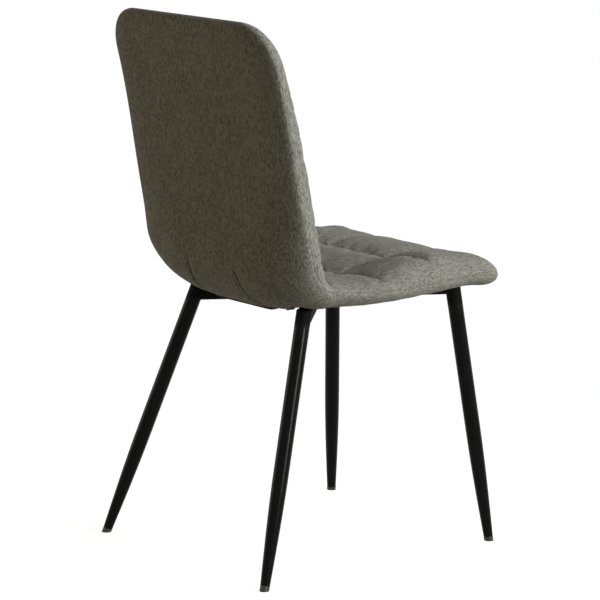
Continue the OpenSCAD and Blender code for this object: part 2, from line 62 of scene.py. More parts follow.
class Wire:
    def __init__(self, graph, socket):
        self.graph = graph
        self.socket = socket

    def math(self, operation, one, two=0.0):
        return self.graph.node("ShaderNodeMath", {"operation": operation}, {0: one, 1: two})

    def __add__(self, other):
        return self.math("ADD", self, other)

    def __radd__(self, other):
        return self.math("ADD", other, self)

    def __sub__(self, other):
        return self.math("SUBTRACT", self, other)

    def __rsub__(self, other):
        return self.math("SUBTRACT", other, self)

    def __mul__(self, other):
        return self.math("MULTIPLY", self, other)

    def __rmul__(self, other):
        return self.math("MULTIPLY", other, self)

    def __lt__(self, other):
        return self.math("LESS_THAN", self, other)

    def abs(self):
        return self.math("ABSOLUTE", self)

    def least(self, other):
        return self.math("MINIMUM", self, other)

    def sine(self):
        return self.math("SINE", self)

    def fraction(self):
        return self.math("FRACT", self)

    def floor(self):
        return self.math("FLOOR", self)

    def rise(self, low, high):      # 0 below low, 1 above high, smooth between
        return self.graph.node("ShaderNodeMapRange", {"interpolation_type": "SMOOTHSTEP"},
                               {"Value": self, "From Min": low, "From Max": high})


class Graph:
    def __init__(self, name):
        self.material = bpy.data.materials.new(name)
        self.material.use_nodes = True
        self.tree = self.material.node_tree
        self.tree.nodes.clear()

    def put(self, socket, value):
        if isinstance(value, Wire):
            self.tree.links.new(value.socket, socket)
        elif isinstance(value, tuple) and socket.type == "RGBA":
            socket.default_value = (*value, 1)
        else:
            socket.default_value = value

    def node(self, kind, settings=None, values=None, out=0):
        made = self.tree.nodes.new(kind)
        for name, value in (settings or {}).items():
            setattr(made, name, value)
        for name, value in (values or {}).items():
            self.put(made.inputs[name], value)
        return Wire(self, made.outputs[out]) if made.outputs else None

    def axes(self, vector):
        split = self.node("ShaderNodeSeparateXYZ", None, {0: vector}).socket.node
        return [Wire(self, socket) for socket in split.outputs]

    def vector(self, x, y, z=0.0):
        return self.node("ShaderNodeCombineXYZ", None, {0: x, 1: y, 2: z})

    def place(self):
        return self.node("ShaderNodeTexCoord", None, None, "Object")

    def noise(self, vector, scale, detail=2.0, roughness=0.5):
        return self.node("ShaderNodeTexNoise", None,
                         {"Vector": vector, "Scale": scale, "Detail": detail, "Roughness": roughness})

    def mix(self, share, one, two):
        return self.node("ShaderNodeMix", {"data_type": "RGBA"}, {0: share, 6: one, 7: two}, 2)

    def bump(self, height, distance, strength=1.0):
        return self.node("ShaderNodeBump", None,
                         {"Height": height, "Distance": distance, "Strength": strength})

    def surface(self, **sockets):
        values = {name.replace("_", " "): value for name, value in sockets.items()}
        shader = self.node("ShaderNodeBsdfPrincipled", None, values)
        self.node("ShaderNodeOutputMaterial", None, {0: shader})
        return self.material


# upholstery fabric: a heathered weave whose light and dark yarns run lengthwise; the pattern follows
# the piece's "cloth" map, in metres, and its sewn lines follow the "spot" attribute

fabricLook = {
    "dark": (0.112, 0.111, 0.094),
    "light": (0.385, 0.393, 0.356),
    # fold: the colour of the painted shade put into the creases of the sewn lines
    "fold": (0.02, 0.02, 0.016),
    "thread": (0.20, 0.20, 0.18),
    "yarn": 0.0009,                                          # width of one yarn
    "relief": 0.00006,
    "coarse": (0.0019, 0.0050), "fine": (0.0011, 0.0032),    # width and length of the two sizes of dashes
    "slub": (520.0, 170.0), "fibre": (2600.0, 1500.0), "cloud": (11.0, 7.0),      # across, along, per metre
    "shares": {"coarse": 0.38, "fine": 0.40, "slub": 0.32, "fibre": 0.16, "cloud": 0.10},
    "level": 0.19,
    "evened": 0.34, "evenedTo": 0.45, "evenedUntil": (0.24, 0.40),      # the seat is more even than the back
}


# short lengths of yarn, each with a value of its own
def dashes(g, u, v, width, length, seed):
    column = (u * (1 / width)).floor() + seed
    shift = g.node("ShaderNodeTexWhiteNoise", {"noise_dimensions": "1D"}, {"W": column})
    along = (v * (1 / length) + shift * 9.0).floor()
    return g.node("ShaderNodeTexWhiteNoise", {"noise_dimensions": "2D"}, {"Vector": g.vector(column, along)})


def fabricNoise(g, u, v, name, seed, roughness):
    across, along = fabricLook[name]
    return g.noise(g.vector(u * across, v * along, seed), 1.0, 2.0, roughness)


# sewn(g, x, s, share) gives the depth of the crease, 0 to 1, and the stitches in it; the crease sinks the
# bump and darkens the colour towards the fold colour as painted shade
def fabricMaterial(name, sewn=None):
    g = Graph(name)
    u, v, _ = g.axes(g.node("ShaderNodeUVMap", {"uv_map": "cloth"}))
    yarn = fabricLook["yarn"]
    parts = {
        "coarse": dashes(g, u, v, *fabricLook["coarse"], 3.0),
        "fine": dashes(g, u, v, *fabricLook["fine"], 71.0),
        "slub": fabricNoise(g, u, v, "slub", 3.0, 0.6),
        "fibre": fabricNoise(g, u, v, "fibre", 7.0, 0.6),
        "cloud": fabricNoise(g, u, v, "cloud", 11.0, 0.5),
    }
    share = parts["coarse"] * fabricLook["shares"]["coarse"]
    for part in ("fine", "slub", "fibre", "cloud"):
        share = share + parts[part] * fabricLook["shares"][part]
    share = share - fabricLook["level"]
    x, s, sewShare = g.axes(g.node("ShaderNodeAttribute", {"attribute_name": "spot"}, None, "Vector"))
    evened = (1.0 - s.rise(*fabricLook["evenedUntil"])) * fabricLook["evened"]
    share = share + (fabricLook["evenedTo"] - share) * evened
    colour = g.mix(share.rise(0.06, 0.94), fabricLook["dark"], fabricLook["light"])
    weave = (u * (pi / yarn)).sine() * (v * (pi / (1.3 * yarn))).sine()
    height = weave * 0.5 + parts["fibre"] * 0.8 + parts["slub"] * 0.7 + parts["fine"] * 0.3
    if sewn:
        crease, stitches = sewn(g, x, s, sewShare)
        # painted shade: the crease is darkened towards the fold colour, as shade in the seam's hollow
        colour = g.mix(crease * 0.8, colour, fabricLook["fold"])
        colour = g.mix(stitches * 0.7, colour, fabricLook["thread"])
        height = height - crease * 4.0 + stitches * 1.6
    return g.surface(Base_Color=colour, Roughness=0.93, Normal=g.bump(height, fabricLook["relief"], 0.9),
                     Specular_IOR_Level=0.2, Sheen_Weight=0.08, Sheen_Roughness=0.5)


# the quilted cover is sewn along two lengthwise lines and a row of crosswise ones
quilt = {"width": 0.154, "pitch": 0.100, "first": 0.138, "reach": 0.045, "depth": 0.0062,
         "fold": 0.0046, "foldShare": 0.7, "stitch": 0.0042, "stitchShare": 0.72,
         "gather": 0.0005, "gatherReach": 0.011, "gatherPitch": 0.0085, "lines": 0.05, "crossLine": 40,
         "calmed": 0.6, "loose": 0.0007, "loosePitch": 0.024, "looseEdge": 0.02}


def quiltSeams(g, x, s, share):
    lengthwise = (x.abs() - quilt["width"] / 2).abs()
    row = (s - quilt["first"]) * (1 / quilt["pitch"])
    crosswise = ((row + 0.5).fraction() - 0.5).abs() * quilt["pitch"]
    near = lengthwise.least(crosswise)
    along = x + (s - x) * (lengthwise < crosswise)
    # the crease share is both the fold's depth in the bump and the mask of the painted shade along each seam
    crease = (1.0 - near.rise(0.0002, 0.0020)) * share
    run = (along * (1 / quilt["stitch"])).fraction()
    stitches = (1.0 - near.rise(0.0003, 0.0006)) * (run < quilt["stitchShare"]) * share
    return crease, stitches


# two darts take in the fullness of the rear cover where it turns under
darts = {"high": 0.0640, "end": 0.466, "run": 0.014, "lean": 0.10, "width": 0.0045, "depth": 0.0026}


def dartSeams(g, x, s, share):
    line = (darts["end"] - s) * darts["lean"] + darts["high"]
    gap = (x.abs() - line).abs()
    # the crease sinks the bump and darkens the colour as painted shade along the dart
    crease = (1.0 - gap.rise(0.0007, 0.0030)) * share
    return crease, crease * 0.0


# powder coat: near black with a slight olive cast, a fine orange peel and faint rub marks, duller up
# under the seat
coat = {"specular": 0.07, "dullFrom": 0.391, "dullTo": 0.402, "dull": 0.5}


def powderCoat(name, base, rough):
    g = Graph(name)
    z = g.axes(g.place())[2]
    peel = g.noise(g.place(), 1100.0, 2.0, 0.5)
    mottle = g.noise(g.place(), 46.0, 3.0, 0.6)
    specks = g.noise(g.place(), 420.0, 1.0, 0.4)
    worn = tuple(c * 1.7 + 0.001 for c in base)
    colour = g.mix(mottle.rise(0.40, 0.80), base, worn)
    dull = z.rise(coat["dullFrom"], coat["dullTo"]) * coat["dull"]
    rough = (mottle - 0.5) * 0.12 + (specks - 0.5) * 0.08 + dull + rough
    return g.surface(Base_Color=colour, Roughness=rough, Normal=g.bump(peel, 0.00010, 0.45),
                     Specular_IOR_Level=coat["specular"])


# zinc plate: small crystals under a passivated, slightly smeared skin
def zincPlate(name, base, rough):
    g = Graph(name)
    crystal = g.node("ShaderNodeTexVoronoi", None, {"Vector": g.place(), "Scale": 700.0})
    smear = g.noise(g.place(), 240.0, 3.0, 0.6)
    colour = g.mix(smear, base, tuple(c * 0.7 for c in base))
    return g.surface(Base_Color=colour, Metallic=1.0, Roughness=smear * 0.2 + rough,
                     Normal=g.bump(crystal, 0.00005, 0.4))


# injection-moulded plastic, dulled by the floor near its foot
def mouldedPlastic(name, base):
    g = Graph(name)
    z = g.axes(g.place())[2]
    grain = g.noise(g.place(), 1600.0, 2.0, 0.5)
    wear = g.noise(g.place(), 120.0, 3.0, 0.6) * 0.6 + (1.0 - z.rise(0.0, 0.006)) * 0.4
    colour = g.mix(wear.rise(0.45, 0.9), base, tuple(c * 2.0 + 0.012 for c in base))
    return g.surface(Base_Color=colour, Roughness=wear * 0.25 + 0.42, Normal=g.bump(grain, 0.00008, 0.5))


def plywood(name):
    g = Graph(name)
    x, y, z = g.axes(g.place())
    grain = g.noise(g.vector(x * 260.0, (y + z) * 9.0, z * 9.0), 1.0, 4.0, 0.6)
    plies = ((y + z) * 2200.0).sine().rise(0.0, 1.0)
    colour = g.mix(grain, (0.42, 0.27, 0.13), (0.66, 0.48, 0.28))
    colour = g.mix(plies * 0.25, colour, (0.30, 0.19, 0.10))
    return g.surface(Base_Color=colour, Roughness=0.7, Normal=g.bump(grain, 0.0002, 0.5))


# thin non-woven cloth: short fibres pressed flat, with a field of small bonded spots
def nonWoven(name):
    g = Graph(name)
    x, y, z = g.axes(g.place())
    fibre = g.noise(g.vector(x * 900.0, y * 300.0, z * 300.0), 1.0, 4.0, 0.7)
    spots = ((x * 2100.0).sine() * (y * 2100.0).sine()).rise(0.1, 0.7)
    colour = g.mix(fibre.rise(0.3, 0.7), (0.008, 0.008, 0.008), (0.032, 0.031, 0.029))
    colour = g.mix(spots * 0.5, colour, (0.006, 0.006, 0.006))
    return g.surface(Base_Color=colour, Roughness=0.85 - spots * 0.25,
                     Normal=g.bump(fibre - spots * 0.6, 0.00014, 0.6))


def foamMaterial(name):
    g = Graph(name)
    cells = g.node("ShaderNodeTexVoronoi", None, {"Vector": g.place(), "Scale": 900.0})
    colour = g.mix(cells, (0.55, 0.46, 0.26), (0.84, 0.76, 0.52))
    return g.surface(Base_Color=colour, Roughness=0.95, Normal=g.bump(cells, 0.0004, 0.7))


looks = {
    "fabric": fabricMaterial("melangeFabric"),
    "foam": foamMaterial("creamFoam"),
    "plywood": plywood("birchPly"),
    "dust_cloth": nonWoven("blackNonWoven"),
    "black_steel": powderCoat("blackPowderCoat", (0.0026, 0.0028, 0.0018), 0.20),
    "glide_plastic": mouldedPlastic("blackPlastic", (0.010, 0.010, 0.009)),
    "zinc_steel": zincPlate("zincPlate", (0.55, 0.56, 0.58), 0.25),
    "black_oxide": powderCoat("blackOxide", (0.011, 0.011, 0.012), 0.34),
}
quiltedFabric = fabricMaterial("quiltedFabric", quiltSeams)
dartedFabric = fabricMaterial("dartedFabric", dartSeams)

slots = {part["node"]: part["material_slot"] for part in frame["record"]["subparts"]}
for name, piece in nodes.items():
    piece.data.materials.clear()
    piece.data.materials.append(looks[slots[name]])
print("materials made:", len(bpy.data.materials))


# the upholstery follows one line in side view, the rear face of the plywood panel, from the front edge
# of the seat back through the bend and up; s is the length along it, t the height over it

shell = {
    "seatHeight": 0.431, "seatPitch": 4.0, "curlStart": 0.182, "curlRadius": 0.158, "curlTurn": 26.0,
    "bendStart": 0.090, "bendRadius": 0.0845, "leanLow": 0.0, "leanTop": 18.5, "backLength": 0.381,
    "seatWidth": 0.412, "backLowWidth": 0.441, "backTopWidth": 0.431,
    "frontCorner": 0.034, "topCorner": 0.073,
    "seatPad": 0.037, "lumbarPad": 0.058, "topPad": 0.030,
    "sideFill": 0.010, "sitDip": 0.009, "bendFill": 0.016,
    "rimPad": 0.014, "bendPad": 0.0145, "rearPad": 0.006,
    "seam": 0.0065, "dish": 0.033, "dishRound": 0.140,
    "sideRound": 0.036, "lipRound": 0.085, "backRound": 0.060, "rearRound": 0.031, "rearBackRound": 0.055,
}

pitch = radians(shell["seatPitch"])
sFlat = shell["curlRadius"] * radians(shell["curlTurn"])
sBend = sFlat + (shell["curlStart"] + shell["bendStart"]) / cos(pitch)
bendTurn = radians(90 - shell["leanLow"] + shell["seatPitch"])
bendLength = shell["bendRadius"] * bendTurn
sBack = sBend + bendLength
sTop = sBack + shell["backLength"]
sMid = (sBend + sBack) / 2
backRadius = shell["backLength"] / radians(shell["leanTop"] - shell["leanLow"])


def seatZ(y):
    return shell["seatHeight"] + y * tan(pitch)


# (y, z, climb) at a length s along the line
def lineAt(s):
    if s < sFlat:
        h = (sFlat - s) / shell["curlRadius"] - pitch
        return (shell["curlStart"] + shell["curlRadius"] * (sin(h) + sin(pitch)),
                seatZ(shell["curlStart"]) + shell["curlRadius"] * (cos(h) - cos(pitch)), h)
    if s < sBend:
        y = shell["curlStart"] - (s - sFlat) * cos(pitch)
        return y, seatZ(y), -pitch
    h = (min(s, sBack) - sBend) / shell["bendRadius"] - pitch
    y = -shell["bendStart"] - shell["bendRadius"] * (sin(h) + sin(pitch))
    z = seatZ(-shell["bendStart"]) + shell["bendRadius"] * (cos(pitch) - cos(h))
    if s < sBack:
        return y, z, h
    k = h - (s - sBack) / backRadius
    return y + backRadius * (sin(k) - sin(h)), z + backRadius * (cos(k) - cos(h)), k


def shellPoint(s, x, t):
    y, z, h = lineAt(s)
    return Vector((x, y + t * sin(h), z + t * cos(h)))


# value at s on straight runs between stops
def between(s, stops):
    for (a, p), (b, q) in zip(stops, stops[1:]):
        if s <= b:
            return p + (q - p) * max(0.0, s - a) / (b - a)
    return stops[-1][1]


def smooth(value, low, high):
    k = min(max((value - low) / (high - low), 0), 1)
    return k * k * (3 - 2 * k)


bendReach = 0.75 * bendLength + 0.030


def nearBend(s):
    return exp(-((s - sMid) / bendReach) ** 2)


def halfWidth(s):
    return between(s, ((0, shell["seatWidth"]), (sBend, shell["seatWidth"]),
                       (sBack, shell["backLowWidth"]), (sTop, shell["backTopWidth"]))) / 2


def padHeight(s):
    return between(s, ((0, shell["seatPad"]), (sBend, shell["seatPad"]), (sBack, shell["lumbarPad"]),
                       (sBack + shell["backLength"] / 4, shell["lumbarPad"]), (sTop, shell["topPad"])))


# the foam behind the panel changes thickness between the rim and the bend, and between it and the back
underRuns = {"rimEnd": 0.08, "bendStart": 0.02, "rearStart": 0.04}


def underPad(s):
    return between(s, ((0, shell["rimPad"]), (sBend - underRuns["rimEnd"], shell["rimPad"]),
                       (sBend - underRuns["bendStart"], shell["bendPad"]), (sMid, shell["bendPad"]),
                       (sBack + underRuns["rearStart"], shell["rearPad"]), (sTop, shell["rearPad"])))


seamMost = 0.8      # the seam lies no higher than this share of the pad


def seamHeight(s):
    return min(shell["seam"] + shell["dish"] * nearBend(s), seamMost * padHeight(s))


def cornerIn(b, r):
    return r - sqrt(max(0.0, r * r - (r - b) ** 2)) if b < r else 0.0


def reachX(s):
    return halfWidth(s) - cornerIn(s, shell["frontCorner"]) - cornerIn(sTop - s, shell["topCorner"])


def cornerGap(a, b, r):
    return r - hypot(r - a, r - b) if a < r and b < r else min(a, b)


def edgeGap(s, x):
    a = halfWidth(s) - abs(x)
    gap = min(cornerGap(a, s, shell["frontCorner"]), cornerGap(a, sTop - s, shell["topCorner"]))
    return max(0.0, gap)


def dome(gap, reach):
    q = 1 - min(gap / reach, 1)
    return sqrt(1 - q * q)


# how far a place on the quilted cover is from its lengthwise and its crosswise seams
def seamGaps(s, x):
    row = (s - quilt["first"]) / quilt["pitch"]
    return abs(abs(x) - quilt["width"] / 2), abs(row - round(row)) * quilt["pitch"]


# how strongly each of the two kinds of seam is drawn in: both fade into the smooth border, further
# from the edge on the back than on the seat
border = {"ends": (0.018, 0.050), "cross": (0.040, 0.070),
          "sides": (0.003, 0.044), "backMore": (0.029, 0.030)}


def seamShares(s, x):
    onBack = smooth(s, sBend, sBack)
    ends = smooth(min(s, sTop - s), *border["ends"])
    low, high = (edge + more * onBack for edge, more in zip(border["sides"], border["backMore"]))
    return ends, smooth(halfWidth(s) - abs(x), low, high) * smooth(min(s, sTop - s), *border["cross"])


# a seam is a sharp fold at the bottom of a shallow hollow
def valley(gap):
    hollow = (1 - min(gap / quilt["reach"], 1)) ** 2
    return quilt["foldShare"] * exp(-gap / quilt["fold"]) + (1 - quilt["foldShare"]) * hollow


def pucker(gap, along, line):
    place = Vector((along / quilt["gatherPitch"], line, layers["pucker"]))
    return exp(-gap / quilt["gatherReach"]) * noise.noise(place)


# height of the quilted cover over the plain rounded one
def quilting(s, x):
    lengthGap, crossGap = seamGaps(s, x)
    lengthShare, crossShare = seamShares(s, x)
    lengthwise = valley(lengthGap) * lengthShare
    crosswise = valley(crossGap) * crossShare
    low = 1 - (1 - lengthwise) * (1 - crosswise)
    gathers = (pucker(lengthGap, s, x // quilt["lines"]) * lengthShare
               + pucker(crossGap, x, s // quilt["pitch"] + quilt["crossLine"]) * crossShare)
    return quilt["gather"] * gathers * (1 - quilt["calmed"] * low) - low * quilt["depth"]


# slow unevenness of cloth pulled over foam: each kind reads a layer of the noise of its own
layers = {"pucker": 0.3, "front": 1.5, "bandGathers": 4.5, "rearSlow": 7.5, "rearQuick": 9.5, "band": 12.5,
          "creases": 21.5, "fineCreases": 25.5}


def unevenness(s, x, size, layer):
    return noise.noise(Vector((x / size, s / size, layers[layer])))


# the pad is fuller along the sides of the seat, lower where one sits, and fills the corner of the bend
fuller = {"aside": (0.085, 0.150), "from": (0.060, 0.130), "to": (0.150, 0.330)}
satOn = {"from": (0.150, 0.235), "to": (0.270, 0.370)}
cornerReach = 0.075


def fullness(s, x):
    sides = smooth(abs(x), *fuller["aside"]) * smooth(s, *fuller["from"]) * (1 - smooth(s, *fuller["to"]))
    sat = smooth(s, *satOn["from"]) * (1 - smooth(s, *satOn["to"]))
    corner = exp(-((s - sMid) / cornerReach) ** 2)
    return shell["sideFill"] * sides - shell["sitDip"] * sat + shell["bendFill"] * corner


# how far in the rounding of the edge reaches: long over the front lip, short along the sides
rounding = {"backRun": 0.12, "rearRun": 0.08, "lipCorner": 0.030, "lipEnd": (0.08, 0.12)}


def roundReach(s, x):
    onBack = smooth(s, sBack, sBack + rounding["backRun"])
    side = shell["sideRound"] + (shell["backRound"] - shell["sideRound"]) * onBack
    corner = rounding["lipCorner"]
    atLip = smooth(halfWidth(s) - abs(x) - s, -corner, corner) * (1 - smooth(s, *rounding["lipEnd"]))
    return side + (shell["lipRound"] - side) * atLip


def plainFace(s, x):
    e = seamHeight(s)
    return e + (padHeight(s) + fullness(s, x) - e) * dome(edgeGap(s, x), roundReach(s, x))


def topFace(s, x):
    loose = quilt["loose"] * unevenness(s, x, quilt["loosePitch"], "front")
    return plainFace(s, x) + quilting(s, x) + loose * smooth(edgeGap(s, x), 0.0, quilt["looseEdge"])


def underFace(s, x):
    e = seamHeight(s)
    onBack = smooth(s, sBack, sBack + rounding["rearRun"])
    reach = shell["rearRound"] + (shell["rearBackRound"] - shell["rearRound"]) * onBack
    return e - (e + underPad(s)) * dome(edgeGap(s, x), reach + shell["dishRound"] * nearBend(s))


def newPiece(name, bm, slot, *stands, look=None):
    mesh = bpy.data.meshes.new(name)
    bm.to_mesh(mesh)
    bm.free()
    piece = bpy.data.objects.new(name, mesh)
    bpy.context.collection.objects.link(piece)
    mesh.materials.append(look or looks[slot])
    for polygon in mesh.polygons:
        polygon.use_smooth = True
    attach(piece, "root")
    if stands:
        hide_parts(*stands)
    return piece


# a sheet of cells, each corner put in its place by a rule for its row and column; the rule also gives
# where the corner would lie without quilting, for an even weave
def makeSheet(rows, columns, place):
    bm = bmesh.new()
    bm.loops.layers.uv.new("cloth")
    bmesh.ops.create_grid(bm, x_segments=columns - 1, y_segments=rows - 1, size=1.0)
    spot = bm.verts.layers.float_vector.new("spot")
    table = {}
    for vert in bm.verts:
        i = round((vert.co.y + 1) / 2 * (rows - 1))
        j = round((vert.co.x + 1) / 2 * (columns - 1))
        vert.co, vert[spot], plain = place(i, j)
        table[i, j] = vert, plain
    layUv(bm, table, rows, columns)
    return bm


# UV map in metres, measured along the cloth from its middle column
def layUv(bm, table, rows, columns):
    uv = bm.loops.layers.uv["cloth"]
    middle = columns // 2
    flat = {}
    down = 0.0
    for i in range(rows):
        if i:
            down += (table[i, middle][1] - table[i - 1, middle][1]).length
        flat[table[i, middle][0]] = (0.0, down)
        for side in (-1, 1):
            run = 0.0
            for j in range(middle + side, columns if side > 0 else -1, side):
                run += (table[i, j][1] - table[i, j - side][1]).length
                flat[table[i, j][0]] = (side * run, down)
    for face in bm.faces:
        for loop in face.loops:
            loop[uv].uv = flat[loop.vert]


# rows and columns of the covers: close to the seams and wider between them, then closing up over the
# curve of the rim

grid = {
    "fromSeam": (0.0025, 0.0025, 0.0035, 0.0045, 0.0055, 0.006, 0.006, 0.0065, 0.0065, 0.0065),
    "middle": (0.0065, 0.0065, 0.007, 0.007),
    "rimFirst": 2.0, "rimTurn": 6.0, "rimReach": 0.060, "rimLeast": 0.002, "endRun": 0.034,
}


def sums(steps):
    return [sum(steps[:k]) for k in range(len(steps) + 1)]


def rimSteps(last):
    steps = [0.0]
    angle = grid["rimFirst"]
    while grid["rimReach"] * (1 - cos(radians(angle))) < last - grid["rimLeast"]:
        steps.append(grid["rimReach"] * (1 - cos(radians(angle))))
        angle += grid["rimTurn"]
    return steps + [last]


def seamRows():
    rows = []
    seam = quilt["first"] - quilt["pitch"]
    while seam < sTop - grid["endRun"]:
        rows += [seam + step for step in sums(grid["fromSeam"])[:-1]]
        rows += [seam + quilt["pitch"] - step for step in reversed(sums(grid["fromSeam"])[1:])]
        seam += quilt["pitch"]
    return [s for s in rows if s < sTop - grid["endRun"]]


evenRows = seamRows()
rowList = (rimSteps(evenRows[0]) + evenRows[1:]
           + [sTop - step for step in reversed(rimSteps(sTop - evenRows[-1])[:-1])])

seamX = quilt["width"] / 2
innerX = ([seamX - step for step in reversed(sums(grid["fromSeam"] + grid["middle"]))]
          + [seamX + step for step in sums(grid["fromSeam"])[1:]])
innerX[0] = 0.0
inner = len(innerX) - 1
sideRun = shell["seatWidth"] / 2 - innerX[-1]
rimShares = [1 - step / sideRun for step in reversed(rimSteps(sideRun))][1:]
columnMost = inner + len(rimShares)


def columnX(s, j):
    k = abs(j)
    side = 1 if j >= 0 else -1
    if k <= inner:
        return side * innerX[k]
    return side * (innerX[-1] + (reachX(s) - innerX[-1]) * rimShares[k - inner - 1])


# front of the chair: one quilted cover over the seat and the back

seamPull = 0.0011      # how far the sewn edges of two covers are drawn in together
sidePull = 0.08        # the places this close to a side are drawn in sideways too
onEdge = 1e-5


def drawnIn(s, x):
    side = seamPull if x > 0 else -seamPull
    return min(max(s, seamPull), sTop - seamPull), x - side if abs(x) > halfWidth(s) - sidePull else x


# the front lip and its corners stand out a little over the panel's curl
lip = {"out": 0.0075, "reach": 0.026, "along": 0.090, "start": 0.008}


def lipFullness(s, x):
    r = shell["frontCorner"]
    aside = max(0.0, abs(x) - halfWidth(s) + r)
    ahead = max(0.0, r - s)
    length = max(hypot(aside, ahead), 1e-6)
    out = lip["out"] * exp(-edgeGap(s, x) / lip["reach"]) * (1 - smooth(s, 0.0, lip["along"]))
    out *= min(1, length / lip["start"])
    return Vector((copysign(aside, x), ahead, 0)) * (out / length)


def frontPlace(i, j):
    s = rowList[i]
    x = columnX(s, j - columnMost)
    lengthGap, crossGap = seamGaps(s, x)
    spot = Vector((x, s, seamShares(s, x)[0 if lengthGap < crossGap else 1]))
    out = lipFullness(s, x)
    plain = shellPoint(s, x, plainFace(s, x))
    if edgeGap(s, x) > onEdge:
        return shellPoint(s, x, topFace(s, x)) + out, spot, plain
    return shellPoint(*drawnIn(s, x), seamHeight(s)) + out, spot, plain


frontBm = makeSheet(len(rowList), 2 * columnMost + 1, frontPlace)
bmesh.ops.reverse_faces(frontBm, faces=frontBm.faces)
quiltedCover = newPiece("quiltedCover", frontBm, "fabric", "front_cover", "seat_foam", "back_foam",
                        look=quiltedFabric)


# rear cover: wraps the back, the bowl of the bend and the turn under the seat behind the rear legs

rear = {"edge": sBend + 0.25 * bendLength, "tuck": 0.012, "tuckRows": 10, "narrow": 0.048,
        "wave": 0.0011, "slowPitch": 0.065, "quickPitch": 0.021, "quickShare": 0.35, "waveEdge": 0.03,
        "rowBefore": 0.001, "rowAfter": 0.002}
rim = {"in": 0.036, "inner": 0.050, "hem": -0.0005, "before": 0.008, "after": 0.014}

# the rear legs' plates and heads press the covers flat: runs between (s, x) pairs, each with its reach
pressed = {
    "plate": ((0.3560, 0.0956), (0.3123, 0.1386), 0.014),
    "arm": ((0.3675, 0.150), (0.3366, 0.1147), 0.0125),
    "give": 0.014,
}


def pressShare(s, x):
    share = 0.0
    for name in ("plate", "arm"):
        start, end, reach = pressed[name]
        along = Vector(end) - Vector(start)
        place = Vector((s, abs(x))) - Vector(start)
        k = min(max(place.dot(along) / along.length_squared, 0), 1)
        gap = (place - along * k).length
        share = max(share, 1 - smooth(gap, reach, reach + pressed["give"]))
    return share


# under the seat the covers turn up over the rim's foam to the panel; behind the bend they stay out
def underCover(s, x):
    under = underFace(s, x)
    gap = min(halfWidth(s) - abs(x), s)
    turn = smooth(gap, rim["in"], rim["inner"])
    turn *= 1 - smooth(s, sBend - rim["before"], sBend + rim["after"])
    under += (rim["hem"] - under) * turn
    return under + max(0.0, rim["hem"] - under) * pressShare(s, x)


# the line where the rear cover and the side band are joined sinks in a little
join = {"dip": 0.0010, "reach": 0.0035, "under": 0.0009, "underRun": 0.004, "from": 0.056, "to": 0.046}


def joinDip(s, x):
    near = exp(-((s - rear["edge"]) / join["reach"]) ** 2)
    return join["dip"] * near * smooth(abs(x), halfWidth(s) - join["from"], halfWidth(s) - join["to"])


def dartShare(s):
    return smooth(darts["end"] - s, 0.0, darts["run"])


def dartDip(s, x):
    gap = abs(abs(x) - darts["high"] - (darts["end"] - s) * darts["lean"])
    return darts["depth"] * dartShare(s) * exp(-(gap / darts["width"]) ** 2)


def rearWave(s, x):
    inside = smooth(edgeGap(s, x), 0.0, rear["waveEdge"])
    slow = unevenness(s, x, rear["slowPitch"], "rearSlow")
    quick = unevenness(s, x, rear["quickPitch"], "rearQuick")
    return rear["wave"] * (slow + rear["quickShare"] * quick) * inside


tuckRun = rear["edge"] - sBend + rear["tuck"] - rear["rowBefore"]
rearRows = ([sBend - rear["tuck"] + k * tuckRun / rear["tuckRows"] for k in range(rear["tuckRows"] + 1)]
            + [rear["edge"]] + [s for s in rowList if s > rear["edge"] + rear["rowAfter"]])


def rearPlace(i, j):
    s = rearRows[i]
    x = columnX(s, j - columnMost)
    spot = Vector((x, s, dartShare(s)))
    if s < rear["edge"]:
        x *= 1 - rear["narrow"] / halfWidth(s)
    plain = shellPoint(s, x, underCover(s, x))
    if s < rear["edge"]:
        return shellPoint(s, x, underCover(s, x) + dartDip(s, x)), spot, plain
    if edgeGap(s, x) > onEdge:
        t = underCover(s, x) + dartDip(s, x) + joinDip(s, x) + rearWave(s, x)
        return shellPoint(s, x, t), spot, plain
    return shellPoint(*drawnIn(s, x), seamHeight(s)), spot, plain


rearBm = makeSheet(len(rearRows), 2 * columnMost + 1, rearPlace)
rearCover = newPiece("backCover", rearBm, "fabric", "rear_cover", "bend_foam", look=dartedFabric)


# side band: runs from behind one rear leg round the front of the seat to the other, and turns under
# the rim's foam to its hem

band = {"reach": 0.031, "hem": 0.060, "under": 0.0020, "side": 66, "corner": 12, "front": 30,
        "curveRings": 10, "flatRings": 7, "gather": 0.0009, "gatherReach": 0.012, "gatherPitch": 0.009,
        "loose": 0.0008, "loosePitch": 0.020, "looseFrom": 0.008, "looseTo": (0.034, 0.05),
        "pulled": 0.02, "turnLeast": 0.004}


# distances in from the seam: close together where the band curves, then even to the hem
def bandRings():
    count = band["curveRings"]
    curved = [band["reach"] * (1 - cos(pi / 2 * k / count)) for k in range(count + 1)]
    flat = band["hem"] - band["reach"]
    return curved + [band["reach"] + flat * k / band["flatRings"] for k in range(1, band["flatRings"] + 1)]


def bandPath(inward):
    r = max(shell["frontCorner"], inward + band["turnLeast"])
    c = halfWidth(0) - r
    run = rear["edge"] + band["under"] - r
    right = [(rear["edge"] + band["under"] - run * k / band["side"]) for k in range(band["side"] + 1)]
    path = [(s, halfWidth(s) - inward) for s in right]
    for k in range(1, band["corner"] + 1):
        a = pi / 2 * k / band["corner"]
        path.append((r - (r - inward) * sin(a), c + (r - inward) * cos(a)))
    path += [(inward, c * (1 - k / band["front"])) for k in range(1, band["front"])]
    return path + [(inward, 0.0)] + [(s, -x) for s, x in reversed(path)]


ringList = bandRings()
bandPaths = [bandPath(inward) for inward in ringList]


